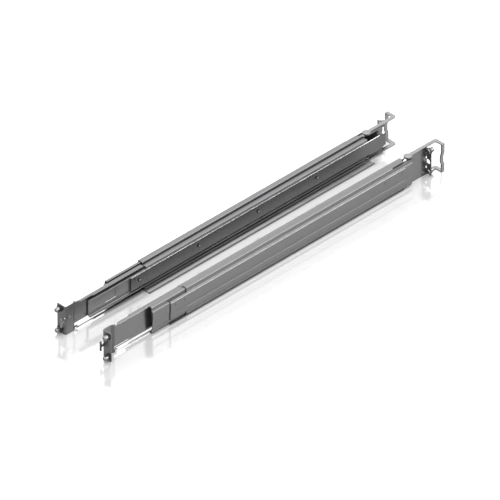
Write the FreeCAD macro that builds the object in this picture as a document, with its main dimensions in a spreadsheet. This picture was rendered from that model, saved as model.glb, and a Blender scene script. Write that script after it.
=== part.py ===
import FreeCAD, Part
# Pair of telescoping server rails for a four-post rack.
#
# X runs from the rear of the rack to the front, Y to the left, Z up. The origin is on the
# surface that the pair stands on, midway between the rails and midway along them. The left
# rail is drawn; the right rail is its mirror image. Inside a rail, x counts from the rear
# mounting face, y counts outwards from the bend of the rear flange, and z from the surface.

import math
import os
import Sketcher

Vector = FreeCAD.Vector

SIZES = {
    # Overall
    "rail_length": (584.0, "rear mounting face to front mounting face"),
    "rail_height": (43.5, "height of the frame channel and the end flanges"),
    "pair_spacing": (70.0, "distance between the flange bends of the two rails"),
    "gauge": (1.2, "sheet thickness of the frame parts"),
    "bend": (0.8, "inside radius of the bends in the frame parts"),
    "nest_gap": (0.1, "play between frame parts that lie in each other"),
    "run_gap": (0.3, "play between parts that slide past each other"),
    # Frame channel
    "channel_start": (140.0, "rear end of the full frame channel"),
    "channel_setback": (32.0, "front end of the frame channel behind the front face"),
    "step_length": (35.0, "length of the narrowed front of the top flange"),
    "step_short": (14.0, "length of its narrowest part"),
    "face_start": (110.0, "rear end of the channel's outer face"),
    "lip_in": (1.25, "inner edge of the channel's top flange"),
    "wall_out": (9.3, "outer side of the channel's upper and lower wall"),
    "face_out": (11.3, "outer side of the channel's proud face"),
    "rib_out": (10.6, "outer side of the rib under the proud face"),
    "lip_height": (3.6, "height of the lip on the top flange"),
    "face_drop": (7.2, "upper edge of the proud face below the rail's top"),
    "face_low": (19.7, "lower edge of the proud face"),
    "foot_top": (6.6, "upper edge of the channel's foot"),
    "ledge_reach": (12.4, "how far the support ledge stands inwards"),
    "ledge_lip": (2.2, "height of the hem on the support ledge"),
    # Guide sleeve
    "sleeve_start": (79.0, "rear end of the guide sleeve"),
    "sleeve_lap": (6.0, "how far the guide sleeve reaches into the full channel"),
    # Rear bracket
    "bracket_end": (138.0, "front end of the rear bracket's channel"),
    "bracket_web": (2.2, "outer side of the rear bracket's web"),
    "flange_width": (14.0, "width of the end flanges"),
    "plate_length": (14.0, "flat plate in front of the rear flange"),
    "jog_length": (4.0, "length of the offset bend behind the plate"),
    "narrow_reach": (2.2, "inward reach of the bracket flanges near the rear"),
    "wide_reach": (3.8, "inward reach of the bracket flanges further on"),
    "wide_start": (48.0, "where the bracket flanges widen"),
    "window_end": (108.0, "front end of the long window in the bracket's web"),
    "window_low": (4.2, "lower edge of the long window"),
    "window_top": (8.0, "upper edge of the long window"),
    # Rear slide bar
    "bar_start": (84.0, "rear end of the slide bar"),
    "bar_setback": (30.0, "front end of the slide bar behind the rear spacer"),
    "bar_low": (15.0, "lower side of the slide bar"),
    "bar_over": (3.3, "upper side of the slide bar below the top of the proud face"),
    # End studs
    "stud_pitch": (31.75, "height between the two studs of an end"),
    "stud_lift": (0.025, "how far the pair of studs sits above half height"),
    "stud_out": (9.0, "how far the studs stand from the flange bend"),
    "stud_radius": (3.35, "radius of an end stud"),
    "shank_radius": (2.6, "radius of a stud's shank in its flange"),
    "neck_radius": (2.9, "radius of a stud's neck inside its collar"),
    "stud_reach": (8.0, "how far a stud stands out of its flange"),
    "collar_radius": (4.7, "outer radius of the collar round a stud"),
    "collar_thick": (1.6, "thickness of that collar"),
    "stud_head": (3.9, "radius of the riveted head behind the flange"),
    "head_thick": (1.0, "thickness of that head"),
    # Rear hook
    "hook_thick": (1.5, "sheet thickness of the rear hook"),
    "hook_pin_x": (6.5, "hook pivot from the rear face"),
    "hook_pin_z": (26.5, "height of the hook pivot"),
    "hook_pin_radius": (1.5, "radius of the hook pivot"),
    "hook_reach": (7.2, "how far the hook stands behind the rear face"),
    "hook_bar": (2.6, "width of the hook's upright head"),
    "hook_low": (14.0, "lower end of the hook's head"),
    "hook_top": (29.0, "upper end of the hook's head"),
    "hook_neck_low": (19.5, "lower edge of the hook's neck"),
    "hook_neck_top": (23.5, "upper edge of the hook's neck"),
    # Front bracket
    "web_out": (5.4, "outer side of the front bracket's web"),
    "bracket_length": (94.0, "length of the front bracket"),
    "joggle_setback": (28.0, "front end of the front bracket's joggle behind the front face"),
    "joggle_length": (8.0, "length of that joggle"),
    "arm_thick": (1.4, "sheet thickness of the front latch"),
    "arm_gap": (0.3, "play between the latch arms and the front bracket"),
    "tab_in": (1.6, "how far the pivot tabs stand inside the flange bend"),
    "screw_hole_radius": (3.5, "radius of the screw hole in the front flange"),
    "screw_hole_lift": (16.1, "height of that hole above the lower stud"),
    "screw_hole_out": (9.0, "how far that hole stands from the flange bend"),
    # Front latch
    "latch_reach": (21.0, "how far the latch stands in front of the front face"),
    "latch_out": (17.0, "how far the latch stands outwards"),
    "latch_bar": (5.0, "width of the latch's arms and upright bar"),
    "bar_thick": (2.0, "thickness of the upright bar"),
    "bar_wave": (2.0, "depth of the wave in the upright bar"),
    "pivot_setback": (33.0, "latch pivot behind the front face"),
    "pivot_out": (2.8, "how far the latch pivot stands outwards"),
    "pivot_radius": (2.0, "radius of the latch pivot"),
    "pivot_head": (4.6, "radius of the pivot's head"),
    "pivot_head_thick": (0.8, "thickness of the pivot's head"),
    "eye_radius": (5.6, "outer radius of the latch eyes"),
    "pivot_play": (0.08, "radial play between latch and pivot"),
    # Slide
    "slide_gauge": (1.0, "sheet thickness of the slide members"),
    "slide_bend": (1.4, "inside radius of the bends in the slide members"),
    "slide_over": (3.6, "top of the outer member below the rail's top"),
    "slide_under": (4.1, "bottom of the outer member above the surface"),
    "outer_setback": (8.0, "front end of the outer member behind the channel's"),
    "outer_web": (1.9, "outer side of the outer member"),
    "outer_track": (3.3, "height between outer and middle member for the balls"),
    "outer_depth": (7.9, "depth of the outer member"),
    "outer_lip": (2.9, "height of the outer member's lips"),
    "middle_start": (41.0, "rear end of the middle member"),
    "middle_setback": (7.0, "front end of the middle member behind the channel's"),
    "inner_track": (2.0, "height between middle and inner member for the balls"),
    "middle_depth": (4.6, "depth of the middle member"),
    "middle_lip": (1.6, "height of the middle member's lips"),
    "recess_setback": (25.0, "rear end of the recess from the middle member's rear end"),
    "recess_length": (23.7, "length of that recess"),
    "recess_half": (5.9, "half height of that recess"),
    "recess_depth": (0.5, "depth of that recess"),
    "inner_start": (115.5, "rear end of the inner member"),
    "inner_setback": (3.0, "front end of the inner member behind the front face"),
    "inner_face": (3.4, "how far the inner member's face stands inwards"),
    "inner_leg": (1.5, "depth of the inner member"),
    "inner_tip": (10.0, "flat tip at the front of the inner member"),
    "race_play": (0.05, "play between a ball and its track"),
    "outer_ball_y": (1.9, "how far inwards the outer balls lie"),
    "inner_ball_y": (2.65, "how far inwards the inner balls lie"),
    "cage_gauge": (0.45, "sheet thickness of the ball cages"),
    "outer_cage_setback": (314.0, "rear end of the outer ball cage behind the outer member's front"),
    "inner_cage_setback": (285.0, "rear end of the inner ball cage behind the middle member's front"),
    "cage_length": (150.0, "length of a ball cage"),
    "ball_pitch": (44.0, "distance between balls in a row"),
    # Fasteners on the inner member
    "chassis_inset": (15.5, "first chassis stud from the inner member's rear end"),
    "chassis_pitch": (107.9, "distance between chassis studs"),
    "chassis_radius": (1.7, "radius of a chassis stud's neck"),
    "chassis_head": (2.4, "radius of a chassis stud's head"),
    "chassis_reach": (2.0, "how far a chassis stud stands out"),
    "rivet_radius": (2.0, "radius of a frame rivet"),
    "spacer_radius": (3.5, "radius of a spacer between channel and slide"),
    "spacer_setback": (20.0, "front spacer behind the front bracket"),
    "spacer_pitch": (40.0, "distance between the spacers"),
    "wire_radius": (0.4, "radius of the spring wire"),
    "wire_gap": (0.05, "gap between the turns of a spring"),
}

BALLS_IN_A_ROW = 3
CHASSIS_STUDS = 4
SPRING_TURNS = 3


class Size:
    """A number that keeps the spreadsheet formula it came from."""

    def __init__(self, value, formula=None):
        self.value = float(value)
        self.formula = formula or repr(float(value))

    @staticmethod
    def of(thing):
        return thing if isinstance(thing, Size) else Size(thing)

    def join(self, other, sign, value):
        return Size(value, "(" + self.formula + " " + sign + " " + other.formula + ")")

    def __add__(self, other):
        other = Size.of(other)
        return self.join(other, "+", self.value + other.value)

    def __radd__(self, other):
        return Size.of(other) + self

    def __sub__(self, other):
        other = Size.of(other)
        return self.join(other, "-", self.value - other.value)

    def __rsub__(self, other):
        return Size.of(other) - self

    def __mul__(self, other):
        other = Size.of(other)
        return self.join(other, "*", self.value * other.value)

    def __rmul__(self, other):
        return Size.of(other) * self

    def __truediv__(self, other):
        other = Size.of(other)
        return self.join(other, "/", self.value / other.value)

    def __neg__(self):
        return Size.of(0) - self


class Sizes:
    """The driving sizes by name, as Size values."""


doc = FreeCAD.newDocument("ServerRails")
table = doc.addObject("Spreadsheet::Sheet", "sizes")
S = Sizes()
for row, (name, (number, meaning)) in enumerate(SIZES.items(), start=1):
    table.set("A" + str(row), str(number))
    table.setAlias("A" + str(row), name)
    table.set("B" + str(row), meaning)
    setattr(S, name, Size(number, "sizes." + name))
doc.recompute()

# Places that follow the rail's length
S.channel_end = S.rail_length - S.channel_setback
S.bracket_start = S.rail_length - S.bracket_length
S.joggle_end = S.rail_length - S.joggle_setback
S.joggle_start = S.joggle_end - S.joggle_length
S.pivot_x = S.rail_length - S.pivot_setback
S.outer_end = S.channel_end - S.outer_setback
S.middle_end = S.channel_end - S.middle_setback
S.inner_end = S.rail_length - S.inner_setback
S.outer_cage_start = S.outer_end - S.outer_cage_setback
S.inner_cage_start = S.middle_end - S.inner_cage_setback
S.bar_end = S.bracket_start - S.spacer_setback - S.spacer_pitch - S.bar_setback

# Places that follow the ends of other parts
S.sleeve_end = S.channel_start + S.sleeve_lap
S.recess_start = S.middle_start + S.recess_setback
S.recess_end = S.recess_start + S.recess_length
S.chassis_first = S.inner_start + S.chassis_inset

# Heights that follow the rail's height
S.lip_low = S.rail_height - S.lip_height
S.face_top = S.rail_height - S.face_drop
S.bar_top = S.face_top - S.bar_over
S.stud_low = (S.rail_height - S.stud_pitch) / 2 + S.stud_lift
S.screw_hole_z = S.stud_low + S.screw_hole_lift
S.outer_half = (S.rail_height - S.slide_over - S.slide_under) / 2
S.slide_mid = S.slide_under + S.outer_half
S.middle_half = S.outer_half - S.slide_gauge - S.outer_track
S.inner_half = S.middle_half - S.slide_gauge - S.inner_track
S.recess_low = S.slide_mid - S.recess_half
S.recess_top = S.slide_mid + S.recess_half

# Derived places that several parts share
FRAME_X = -(S.rail_length + S.latch_reach - S.stud_reach) / 2
FRAME_Y = S.pair_spacing / 2
NEST = S.gauge + S.nest_gap
FACE_MID = (S.face_top + S.face_low) / 2
REAR_RIVETS = [(S.face_start + 10, FACE_MID), (S.channel_start - 4, FACE_MID)]
FRONT_RIVETS = [(S.bracket_start + 12, FACE_MID), (S.joggle_start - 14, FACE_MID)]
BAR_MID = (S.bar_low + S.bar_top) / 2
BAR_RIVETS = [(S.bar_start + 8, BAR_MID), (S.bracket_end - 8, BAR_MID)]
BRACKET_TOP = S.rail_height - NEST - S.gauge - S.run_gap
BRACKET_LOW = S.gauge + NEST + S.run_gap
FRONT_LOW = S.arm_thick + S.arm_gap
ARM_LEVEL = S.rail_height + S.arm_gap - S.arm_thick
FRONT_TOP = ARM_LEVEL - S.arm_gap
STUD_TOP = S.stud_low + S.stud_pitch
MIDDLE_BACK = Size.of(0)
OUTER_LIP_Y = S.outer_web - S.outer_depth
MIDDLE_LIP_Y = MIDDLE_BACK - S.middle_depth
OUTER_BALL_Z = (S.outer_half - S.slide_gauge + S.middle_half) / 2
INNER_BALL_Z = (S.middle_half - S.slide_gauge + S.inner_half) / 2
OUTER_BALL = (S.outer_half - S.slide_gauge - S.middle_half) / 2 - S.race_play
INNER_BALL = (S.middle_half - S.slide_gauge - S.inner_half) / 2 - S.race_play
HOOK_Y = S.run_gap


def bind(thing, prop, size):
    """Ties a property of an object to the spreadsheet."""
    thing.setExpression(prop, Size.of(size).formula)


def new_body(label):
    """An empty body of the left rail, placed in the frame of the pair."""
    body = doc.addObject("PartDesign::Body", label)
    body.Label = label
    bind(body, ".Placement.Base.x", FRAME_X)
    bind(body, ".Placement.Base.y", FRAME_Y)
    return body


def new_sketch(body, role, lift=0):
    """A sketch on one of the body's own planes, lifted along its normal."""
    sketch = body.newObject("Sketcher::SketchObject", "Sketch")
    plane = [item for item in body.Origin.OriginFeatures if item.Role == role][0]
    sketch.AttachmentSupport = [(plane, "")]
    sketch.MapMode = "FlatFace"
    bind(sketch, ".AttachmentOffset.Base.z", lift)
    return sketch


def unit(start, end):
    """Direction and length of the line between two points."""
    across = end[0].value - start[0].value
    along = end[1].value - start[1].value
    length = math.hypot(across, along)
    return across / length, along / length, length


def tie_point(rules, links, element, vertex, point):
    """Dimensions that hold a vertex at a point of spreadsheet formulas."""
    for kind, size in (("DistanceX", point[0]), ("DistanceY", point[1])):
        links.append((len(rules), size))
        rules.append(Sketcher.Constraint(kind, -1, 1, element, vertex, size.value))


def draw_outline(sketch, corners):
    """Closed outline; each corner is (across, along) or (across, along, radius)."""
    points = [(Size.of(c[0]), Size.of(c[1])) for c in corners]
    radii = [Size.of(c[2]) if len(c) > 2 else Size.of(0) for c in corners]
    count = len(points)
    turned = sum(points[i - 1][0].value * points[i][1].value - points[i][0].value * points[i - 1][1].value
                 for i in range(count))
    if turned < 0:
        points.reverse()
        radii.reverse()
    ends = []
    for i, point in enumerate(points):
        back = unit(point, points[i - 1])
        ahead = unit(point, points[(i + 1) % count])
        cosine = back[0] * ahead[0] + back[1] * ahead[1]
        half = math.acos(max(-1.0, min(1.0, cosine))) / 2
        room = 0.45 * min(back[2], ahead[2]) * math.tan(half)
        if radii[i].value > room:
            radii[i] = Size.of(round(room, 3))
        trim = radii[i] * (1 / math.tan(half)) if radii[i].value > 0 else Size.of(0)
        enter = (point[0] + trim * back[0], point[1] + trim * back[1]) if trim.value > 0 else point
        leave = (point[0] + trim * ahead[0], point[1] + trim * ahead[1]) if trim.value > 0 else point
        middle = None
        if trim.value > 0:
            span = radii[i].value * (1 / math.sin(half) - 1)
            tilt = math.hypot(back[0] + ahead[0], back[1] + ahead[1])
            middle = Vector(point[0].value + span * (back[0] + ahead[0]) / tilt,
                            point[1].value + span * (back[1] + ahead[1]) / tilt, 0)
        ends.append((enter, middle, leave))
    rules = []
    links = []
    lines = []
    for i in range(count):
        start = ends[i][2]
        finish = ends[(i + 1) % count][0]
        line = Part.LineSegment(Vector(start[0].value, start[1].value, 0),
                                Vector(finish[0].value, finish[1].value, 0))
        number = sketch.addGeometry(line, False)
        lines.append(number)
        tie_point(rules, links, number, 1, start)
        tie_point(rules, links, number, 2, finish)
    for i in range(count):
        enter, middle, leave = ends[i]
        if middle is None:
            continue
        first = Vector(enter[0].value, enter[1].value, 0)
        last = Vector(leave[0].value, leave[1].value, 0)
        number = sketch.addGeometry(Part.Arc(first, middle, last), False)
        forward = sketch.getPoint(number, 1).distanceToPoint(first) < 1e-6
        rules.append(Sketcher.Constraint("Coincident", number, 1 if forward else 2, lines[i - 1], 2))
        rules.append(Sketcher.Constraint("Coincident", number, 2 if forward else 1, lines[i], 1))
        links.append((len(rules), radii[i]))
        rules.append(Sketcher.Constraint("Radius", number, radii[i].value))
    first_rule = sketch.ConstraintCount
    sketch.addConstraint(rules)
    for number, size in links:
        sketch.setExpression("Constraints[" + str(first_rule + number) + "]", size.formula)
    return sketch


def draw_circle(sketch, across, along, radius):
    """A full circle held by its centre and radius."""
    across, along, radius = Size.of(across), Size.of(along), Size.of(radius)
    circle = Part.Circle(Vector(across.value, along.value, 0), Vector(0, 0, 1), radius.value)
    number = sketch.addGeometry(circle, False)
    rules = []
    links = []
    tie_point(rules, links, number, 3, (across, along))
    links.append((len(rules), radius))
    rules.append(Sketcher.Constraint("Radius", number, radius.value))
    first_rule = sketch.ConstraintCount
    sketch.addConstraint(rules)
    for rule, size in links:
        sketch.setExpression("Constraints[" + str(first_rule + rule) + "]", size.formula)
    return sketch


def shifted_path(path, distance, side):
    """A path moved sideways, and which way it turns at each corner."""
    path = [(Size.of(a), Size.of(b)) for a, b in path]
    moved = []
    turns = []
    for i, point in enumerate(path):
        before = unit(path[i - 1], point) if i > 0 else None
        after = unit(point, path[i + 1]) if i < len(path) - 1 else None
        first = before or after
        second = after or before
        scale = 1 + first[0] * second[0] + first[1] * second[1]
        across = round(-side * (first[1] + second[1]) / scale, 9)
        along = round(side * (first[0] + second[0]) / scale, 9)
        moved.append((point[0] + distance * across, point[1] + distance * along))
        turns.append(side * (first[0] * second[1] - first[1] * second[0]))
    return moved, turns


def sheet_outline(path, gauge, bend, side):
    """Outline of a bent sheet from one of its faces; side is +1 for thickness on the left."""
    moved, turns = shifted_path(path, gauge, side)
    near = []
    far = []
    for point, other, turn in zip(path, moved, turns):
        if abs(turn) < 1e-6:
            near.append(point)
            far.append(other)
        elif turn > 0:
            near.append(tuple(point) + (bend + gauge,))
            far.append(other + (bend,))
        else:
            near.append(tuple(point) + (bend,))
            far.append(other + (bend + gauge,))
    return near + far[::-1]


def pad(body, sketch, length, reverse=False):
    """Pads a sketch by a length."""
    feature = body.newObject("PartDesign::Pad", "Pad")
    feature.Profile = sketch
    feature.Reversed = reverse
    feature.Length = Size.of(length).value
    bind(feature, "Length", length)
    doc.recompute()
    return feature


def cut(body, sketch, length=None, reverse=False):
    """Pockets a sketch through everything both ways, or by a length one way."""
    before = body.Shape.Volume
    feature = body.newObject("PartDesign::Pocket", "Pocket")
    feature.Profile = sketch
    if length is None:
        feature.SideType = "Symmetric"
        feature.Type = "ThroughAll"
    else:
        feature.Reversed = reverse
        feature.Length = Size.of(length).value
        bind(feature, "Length", length)
    doc.recompute()
    if body.Shape.Volume > before - 1e-6:
        raise RuntimeError("a pocket in " + body.Label + " cuts nothing")
    return feature


def cut_row(body, sketch, length, pitch, count):
    """A pocket repeated along X."""
    pocket = cut(body, sketch, length)
    pattern = body.newObject("PartDesign::LinearPattern", "Row")
    pattern.Originals = [pocket]
    axis = [item for item in body.Origin.OriginFeatures if item.Role == "X_Axis"][0]
    pattern.Direction = (axis, [""])
    pattern.Length = pitch.value * (count - 1)
    bind(pattern, "Length", pitch * (count - 1))
    pattern.Occurrences = count
    body.Tip = pattern
    doc.recompute()
    return pattern


def drill(body, places, radius):
    """Holes for rivets, straight through in the side view."""
    sketch = new_sketch(body, "XZ_Plane")
    for along, height in places:
        draw_circle(sketch, along, height, radius)
    return cut(body, sketch)


def box_outline(low_a, low_b, high_a, high_b, radius=None):
    """Corners of an upright rectangle, rounded where a radius is given."""
    corners = [(low_a, low_b), (high_a, low_b), (high_a, high_b), (low_a, high_b)]
    return [corner + (radius,) for corner in corners] if radius is not None else corners


def trim_block(body, low_x, low_z, high_x, high_z, radius=None):
    """Cuts a rectangle of the side view right through the body."""
    outline = box_outline(low_x, low_z, high_x, high_z, radius)
    return cut(body, draw_outline(new_sketch(body, "XZ_Plane"), outline))


def place(thing, along, outward, height, turn=None):
    """Places a primitive of the left rail by its own origin."""
    if turn:
        thing.Placement = FreeCAD.Placement(Vector(), FreeCAD.Rotation(Vector(*turn[0]), turn[1]))
    bind(thing, ".Placement.Base.x", FRAME_X + along)
    bind(thing, ".Placement.Base.y", FRAME_Y + outward)
    bind(thing, ".Placement.Base.z", height)
    return thing


TURNS = {"+X": ((0, 1, 0), 90), "-X": ((0, 1, 0), -90), "+Y": ((1, 0, 0), -90),
         "-Y": ((1, 0, 0), 90), "+Z": None, "-Z": ((1, 0, 0), 180)}


def cylinder(radius, length, along, outward, height, way):
    """A cylinder that starts at a point and runs one way."""
    thing = doc.addObject("Part::Cylinder", "Cylinder")
    bind(thing, "Radius", radius)
    bind(thing, "Height", length)
    return place(thing, along, outward, height, TURNS[way])


def cone(radius, end_radius, length, along, outward, height, way):
    """A cone that starts at a point and runs one way."""
    thing = doc.addObject("Part::Cone", "Cone")
    bind(thing, "Radius1", radius)
    bind(thing, "Radius2", end_radius)
    bind(thing, "Height", length)
    return place(thing, along, outward, height, TURNS[way])


def ball(radius, along, outward, height):
    """A ball by its centre."""
    thing = doc.addObject("Part::Sphere", "Sphere")
    bind(thing, "Radius", radius)
    return place(thing, along, outward, height)


def join(label, shapes):
    """Several shapes as one sub-part; separate fasteners stay separate solids."""
    thing = doc.addObject("Part::MultiFuse", label)
    thing.Label = label
    thing.Shapes = shapes
    return thing


def channel_path(inner_edge):
    """Outer side of the frame channel's section, from its top edge round to its floor."""
    return [(inner_edge, S.rail_height), (S.wall_out, S.rail_height), (S.wall_out, S.face_top + 0.7),
            (S.face_out, S.face_top), (S.face_out, S.face_low), (S.rib_out, S.face_low - 0.7),
            (S.rib_out, S.foot_top + 1.2), (S.wall_out, S.foot_top), (S.wall_out, 0), (inner_edge, 0)]


def make_outer_channel():
    """Frame channel with its top flange, proud outer face and inward support ledge."""
    body = new_body("left_outer_channel")
    path = [(S.lip_in, S.lip_low)] + channel_path(S.lip_in)[:-1]
    path += [(-S.ledge_reach, 0), (-S.ledge_reach, S.ledge_lip)]
    outline = sheet_outline(path, S.gauge, S.bend, -1)
    sketch = draw_outline(new_sketch(body, "YZ_Plane", S.face_start), outline)
    pad(body, sketch, S.channel_end - S.face_start)
    margin = S.gauge
    trim_block(body, S.face_start - margin, S.face_top + 0.6, S.channel_start, S.rail_height + margin)
    trim_block(body, S.face_start - margin, -margin, S.channel_start, S.foot_top + 0.8)
    corner = draw_outline(new_sketch(body, "XY_Plane", S.rail_height - S.gauge - S.bend), [
        (S.channel_end - S.step_length, S.wall_out + margin),
        (S.channel_end - S.step_length, S.wall_out - 1.6),
        (S.channel_end - S.step_short, S.wall_out - 1.6, 1.0),
        (S.channel_end - S.step_short, S.lip_in + 2.6, 1.0),
        (S.channel_end + margin, S.lip_in + 2.6), (S.channel_end + margin, S.wall_out + margin)])
    cut(body, corner, S.rail_height, reverse=True)
    start = S.pivot_x - S.eye_radius - 1
    lip = box_outline(start, -margin, S.channel_end + margin, S.wall_out - S.gauge)
    lip = draw_outline(new_sketch(body, "XY_Plane", S.lip_low - margin), lip)
    cut(body, lip, S.rail_height, reverse=True)
    window = new_sketch(body, "XY_Plane")
    draw_outline(window, box_outline(S.channel_end - S.step_short, -S.lip_in - 3.6,
                                     S.channel_end - 10, -S.lip_in + 0.4, 0.6))
    cut(body, window, S.gauge * 2, reverse=True)
    relief = new_sketch(body, "XY_Plane")
    outline = box_outline(start, -S.eye_radius - 0.8, S.channel_end + margin, S.wall_out + margin)
    cut(body, draw_outline(relief, outline), FRONT_LOW + 0.2, reverse=True)
    drill(body, REAR_RIVETS + FRONT_RIVETS, S.rivet_radius)
    return body


def make_guide_sleeve():
    """Short sleeve in the rear of the channel that guides the rear bracket."""
    body = new_body("left_guide_sleeve")
    edge = S.lip_in + S.gauge + S.bend + S.nest_gap
    path, turns = shifted_path(channel_path(edge), NEST, -1)
    outline = sheet_outline(path, S.gauge, S.bend, -1)
    sketch = draw_outline(new_sketch(body, "YZ_Plane", S.sleeve_start), outline)
    pad(body, sketch, S.sleeve_end - S.sleeve_start)
    drill(body, REAR_RIVETS, S.rivet_radius)
    return body


def make_rear_bracket():
    """Telescoping rear bracket: end flange, plate, offset bend and channel."""
    body = new_body("left_rear_bracket")
    web = S.bracket_web
    plan = [(0, S.flange_width), (0, -S.gauge), (S.plate_length, -S.gauge),
            (S.plate_length + S.jog_length, web - S.gauge), (S.bracket_end, web - S.gauge)]
    outline = sheet_outline(plan, S.gauge, S.bend, 1)
    pad(body, draw_outline(new_sketch(body, "XY_Plane"), outline), S.rail_height)
    channel_x = S.plate_length + S.jog_length
    over = S.rail_height
    trim_block(body, channel_x + 1, BRACKET_TOP, S.bracket_end + over, S.rail_height + over, 0.5)
    trim_block(body, channel_x + 1, -over, S.bracket_end + over, BRACKET_LOW, 0.5)
    reach = [(channel_x + 6, web - S.gauge), (channel_x + 9, -S.narrow_reach, 1.0),
             (S.wide_start - 2, -S.narrow_reach), (S.wide_start, -S.wide_reach),
             (S.bracket_end, -S.wide_reach), (S.bracket_end, web - S.gauge / 2),
             (channel_x + 6, web - S.gauge / 2)]
    pad(body, draw_outline(new_sketch(body, "XY_Plane", BRACKET_TOP - S.gauge), reach), S.gauge)
    rim = [(channel_x + 1, -S.narrow_reach, 1.0)] + reach[2:-1] + [(channel_x + 1, web - S.gauge / 2)]
    pad(body, draw_outline(new_sketch(body, "XY_Plane", BRACKET_LOW), rim), S.gauge)
    slot = box_outline(channel_x + 4.5, S.gauge, S.window_end, S.gauge + web + S.gauge, 0.8)
    slot = [(corner[0], corner[1] - S.gauge * 2, corner[2]) for corner in slot]
    cut(body, draw_outline(new_sketch(body, "XY_Plane"), slot), S.window_top, reverse=True)
    trim_block(body, channel_x - 1, S.window_low, S.window_end, S.window_top, 1.2)
    trim_block(body, channel_x - 1, S.window_low + 1, S.wide_start, S.window_top + 1.2, 1.2)
    holes = new_sketch(body, "YZ_Plane")
    for level in (S.stud_low, STUD_TOP):
        draw_circle(holes, S.stud_out, level, S.shank_radius)
    draw_outline(holes, box_outline(HOOK_Y - 0.2, S.hook_neck_low - 0.8,
                                    HOOK_Y + S.hook_thick + 0.4, S.hook_neck_top + 3.4, 0.4))
    cut(body, holes, S.gauge * 2, reverse=True)
    pin = draw_circle(new_sketch(body, "XZ_Plane"), S.hook_pin_x, S.hook_pin_z, S.hook_pin_radius)
    cut(body, pin, S.gauge * 2, reverse=True)
    drill(body, BAR_RIVETS, S.rivet_radius)
    return body


def make_rear_slide_bar():
    """Channel bar riveted to the rear bracket, which runs inside the frame."""
    body = new_body("left_rear_slide_bar")
    tip = S.rib_out - NEST - S.gauge - S.run_gap
    path = [(tip, S.bar_top), (S.bracket_web, S.bar_top), (S.bracket_web, S.bar_low), (tip, S.bar_low)]
    outline = sheet_outline(path, S.gauge, S.bend, 1)
    sketch = draw_outline(new_sketch(body, "YZ_Plane", S.bar_start), outline)
    pad(body, sketch, S.bar_end - S.bar_start)
    drill(body, BAR_RIVETS, S.rivet_radius)
    return body


def make_studs(label, face, way):
    """The two mounting studs of an end, each with its riveted head."""
    sign = 1 if way == "+X" else -1
    other = "-X" if way == "+X" else "+X"
    shapes = []
    tip = 1.2
    for level in (S.stud_low, STUD_TOP):
        back = face - S.gauge * sign
        shapes.append(cylinder(S.shank_radius, S.gauge + 1, back, S.stud_out, level, way))
        shapes.append(cylinder(S.neck_radius, S.collar_thick + 1, face, S.stud_out, level, way))
        start = face + S.collar_thick * sign
        barrel = S.stud_reach - S.collar_thick - tip
        shapes.append(cylinder(S.stud_radius, barrel, start, S.stud_out, level, way))
        start = face + (S.stud_reach - tip) * sign
        shapes.append(cone(S.stud_radius, S.stud_radius - tip, tip, start, S.stud_out, level, way))
        shapes.append(cone(S.stud_head, S.stud_head - 0.8, S.head_thick, back, S.stud_out, level, other))
    return join(label, shapes)


def make_collars(label, face, way):
    """The dark collar round each stud, against the flange."""
    parts = []
    sign = 1 if way == "+X" else -1
    for level in (S.stud_low, STUD_TOP):
        ring = doc.addObject("Part::Cut", "Ring")
        ring.Base = cylinder(S.collar_radius, S.collar_thick, face, S.stud_out, level, way)
        bore = S.neck_radius + S.run_gap
        ring.Tool = cylinder(bore, S.collar_thick + 2, face - sign, S.stud_out, level, way)
        parts.append(ring)
    return join(label, parts)


def make_rear_hook():
    """Hook of the rear end: pivot eye, neck through the flange and upright head."""
    body = new_body("left_rear_hook")
    head = -S.hook_reach
    neck = -S.hook_reach + S.hook_bar
    eye = S.hook_pin_x
    outline = [(head, S.hook_low, 1.0), (neck, S.hook_low, 0.6), (neck, S.hook_neck_low),
               (eye + 3, S.hook_neck_low, 1.5), (eye + 3, S.hook_pin_z + 3, 2.4),
               (eye - 3, S.hook_pin_z + 3, 2.4), (eye - 3, S.hook_neck_top, 0.6), (neck, S.hook_neck_top),
               (neck, S.hook_top, 0.6), (head, S.hook_top, 1.0)]
    sketch = draw_outline(new_sketch(body, "XZ_Plane", -HOOK_Y - S.hook_thick), outline)
    pad(body, sketch, S.hook_thick)
    bore = new_sketch(body, "XZ_Plane")
    draw_circle(bore, S.hook_pin_x, S.hook_pin_z, S.hook_pin_radius + S.pivot_play)
    cut(body, bore)
    return body


def make_hook_pin():
    """Rivet that the rear hook turns on."""
    inner = -S.gauge - S.head_thick
    reach = HOOK_Y + S.hook_thick + (S.wire_radius * 2 + S.wire_gap) * SPRING_TURNS + S.run_gap
    outer = reach + S.head_thick
    return join("left_rear_hook_pin", [
        cylinder(S.hook_pin_radius, outer - inner, S.hook_pin_x, inner, S.hook_pin_z, "+Y"),
        cylinder(S.hook_pin_radius + 1, S.head_thick, S.hook_pin_x, inner, S.hook_pin_z, "+Y"),
        cylinder(S.hook_pin_radius + 1, S.head_thick, S.hook_pin_x, reach, S.hook_pin_z, "+Y")])


def make_bar_rivets():
    """Rivets that hold the slide bar to the rear bracket."""
    shapes = []
    inner = S.bracket_web - S.gauge - 0.5
    for along, height in BAR_RIVETS:
        shapes.append(cylinder(S.rivet_radius, S.gauge * 2 + 1.3, along, inner, height, "+Y"))
        shapes.append(cylinder(S.rivet_radius + 1.2, 0.5, along, inner, height, "+Y"))
    return join("left_bar_rivets", shapes)


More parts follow.
